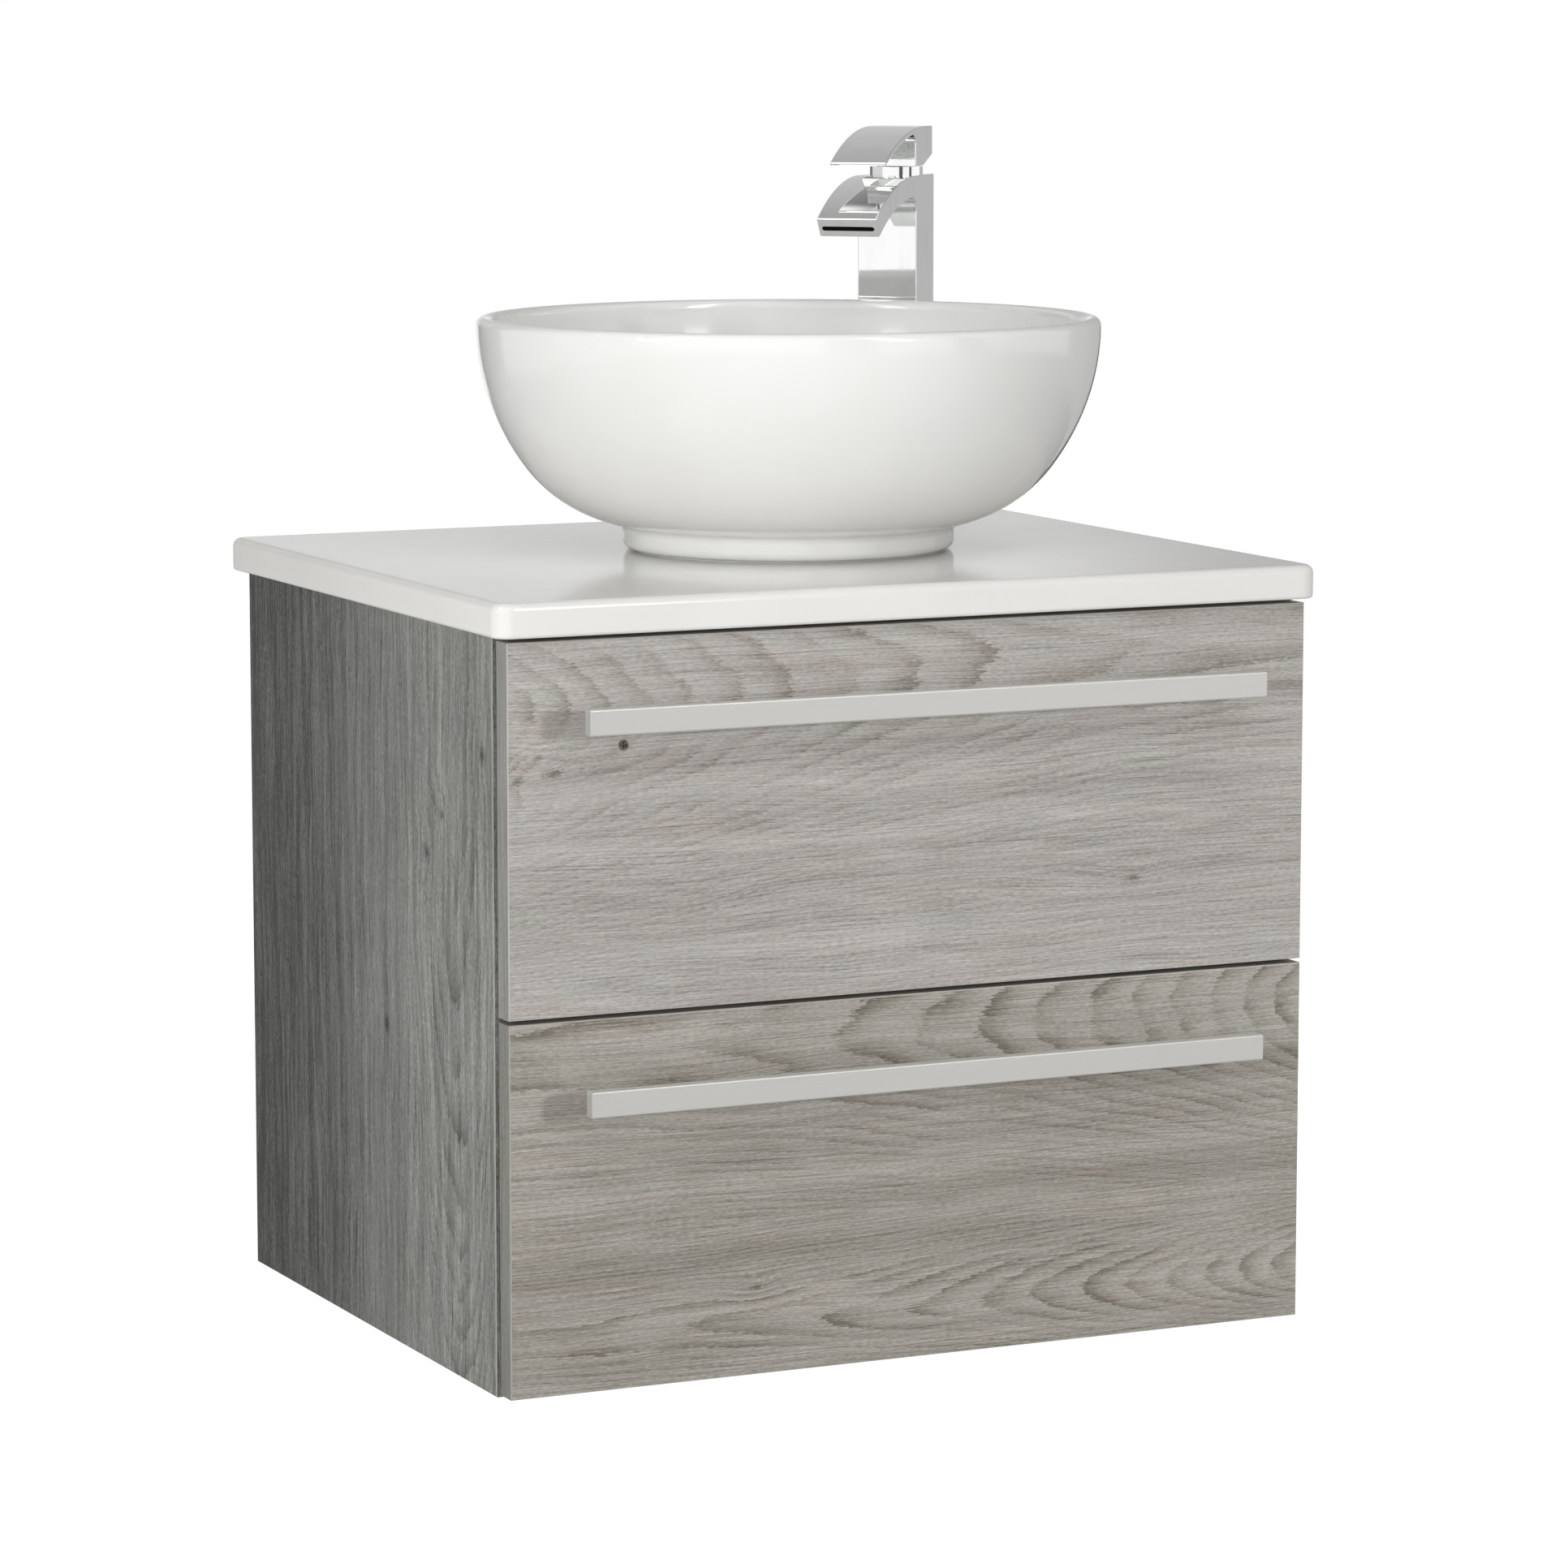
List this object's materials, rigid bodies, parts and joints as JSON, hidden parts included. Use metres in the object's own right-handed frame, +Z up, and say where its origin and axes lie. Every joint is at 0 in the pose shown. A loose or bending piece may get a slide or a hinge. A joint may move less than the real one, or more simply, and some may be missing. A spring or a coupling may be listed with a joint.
{
  "type": "vessel sink on vanity",
  "caption": "Wall-hung vanity with grey oak drawers, bar handles, white countertop, round vessel basin and tall single-lever waterfall tap.",
  "frame": {"origin": "on the wall plane, on the cabinet's centre line, level with its underside", "axes": "+X to the right seen from the front, +Y into the wall, +Z up"},
  "size_m": [0.614, 0.5384, 0.8247],
  "materials": {
    "oak_laminate": "grey oak laminate, fine horizontal grain, matt",
    "carcass_board": "grey melamine-faced board",
    "drawer_board": "pale grey melamine-faced board",
    "softwood": "planed softwood",
    "countertop_white": "white cast polymer stone, glossy",
    "glazed_ceramic": "white glazed ceramic",
    "chrome": "polished chrome",
    "satin_aluminium": "satin anodised",
    "zinc_steel": "zinc-plated steel",
    "seal_rubber": "black rubber",
    "clear_silicone": "translucent sealant",
    "brass": "machined brass",
    "white_plastic": "white moulded plastic",
    "cartridge_plastic": "grey moulded plastic"
  },
  "bodies": {
    "cabinet": {"left_side_panel": "oak_laminate", "right_side_panel": "oak_laminate", "bottom_panel": "carcass_board", "top_front_rail": "carcass_board", "hanging_rail": "carcass_board", "lower_back_rail": "carcass_board", "wall_battens": "softwood", "carcass_dowels": "softwood", "countertop": "countertop_white", "basin": "glazed_ceramic", "tap_body": "chrome", "tap_collar": "chrome", "waste_body": "chrome", "upper_runner_outer": "zinc_steel", "lower_runner_outer": "zinc_steel", "waste_flange_seal": "seal_rubber", "waste_washer": "seal_rubber", "tap_base_seal": "seal_rubber", "basin_foot_seal": "clear_silicone", "tap_shank": "brass", "tap_backnut": "brass", "waste_backnut": "brass", "trap_inlet_nut": "white_plastic", "trap_dip_tube": "white_plastic", "trap_body": "white_plastic", "trap_cup": "white_plastic", "trap_outlet_nut": "white_plastic", "outlet_pipe": "white_plastic", "tap_cartridge": "cartridge_plastic"},
    "upper_drawer": {"upper_front": "oak_laminate", "upper_side_left": "drawer_board", "upper_side_right": "drawer_board", "upper_base": "drawer_board", "upper_back_left": "drawer_board", "upper_back_right": "drawer_board", "trap_wall_front": "drawer_board", "trap_wall_left": "drawer_board", "trap_wall_right": "drawer_board", "upper_handle_bar": "satin_aluminium", "upper_handle_posts": "satin_aluminium", "upper_handle_screws": "zinc_steel", "front_screw": "zinc_steel", "upper_runner_inner": "zinc_steel"},
    "upper_runner": {"upper_runner_middle": "zinc_steel"},
    "lower_drawer": {"lower_front": "oak_laminate", "lower_side_left": "drawer_board", "lower_side_right": "drawer_board", "lower_base": "drawer_board", "lower_back": "drawer_board", "lower_handle_bar": "satin_aluminium", "lower_handle_posts": "satin_aluminium", "lower_handle_screws": "zinc_steel", "lower_runner_inner": "zinc_steel"},
    "lower_runner": {"lower_runner_middle": "zinc_steel"},
    "plug": {"waste_plug": "chrome"},
    "lever_swivel": {"tap_swivel": "cartridge_plastic", "lever_pin": "zinc_steel"},
    "lever": {"tap_lever": "chrome", "lever_spindle": "zinc_steel"}
  },
  "joints": [
    {"name": "upper_drawer_slide", "type": "slide", "parent": "cabinet", "child": "upper_drawer", "axis": [0, -1, 0], "range_m": [0, 0.38]},
    {"name": "upper_runner_slide", "type": "slide", "parent": "cabinet", "child": "upper_runner", "axis": [0, -1, 0], "range_m": [0, 0.19]},
    {"name": "lower_drawer_slide", "type": "slide", "parent": "cabinet", "child": "lower_drawer", "axis": [0, -1, 0], "range_m": [0, 0.38]},
    {"name": "lower_runner_slide", "type": "slide", "parent": "cabinet", "child": "lower_runner", "axis": [0, -1, 0], "range_m": [0, 0.19]},
    {"name": "plug_lift", "type": "slide", "parent": "cabinet", "child": "plug", "axis": [0, 0, 1], "range_m": [0, 0.008]},
    {"name": "lever_turn", "type": "hinge", "parent": "cabinet", "child": "lever_swivel", "pos_m": [0.2045, -0.0567, 0.7899], "axis": [0, 0, 1], "range_deg": [-45, 45]},
    {"name": "lever_lift", "type": "hinge", "parent": "lever_swivel", "child": "lever", "pos_m": [0.2045, -0.0567, 0.7899], "axis": [-0.7294, 0.6841, 0], "range_deg": [0, 18]}
  ],
  "couplings": [
    {"joint": "upper_runner_slide", "follows": "upper_drawer_slide", "ratio": 0.5},
    {"joint": "lower_runner_slide", "follows": "lower_drawer_slide", "ratio": 0.5}
  ]
}
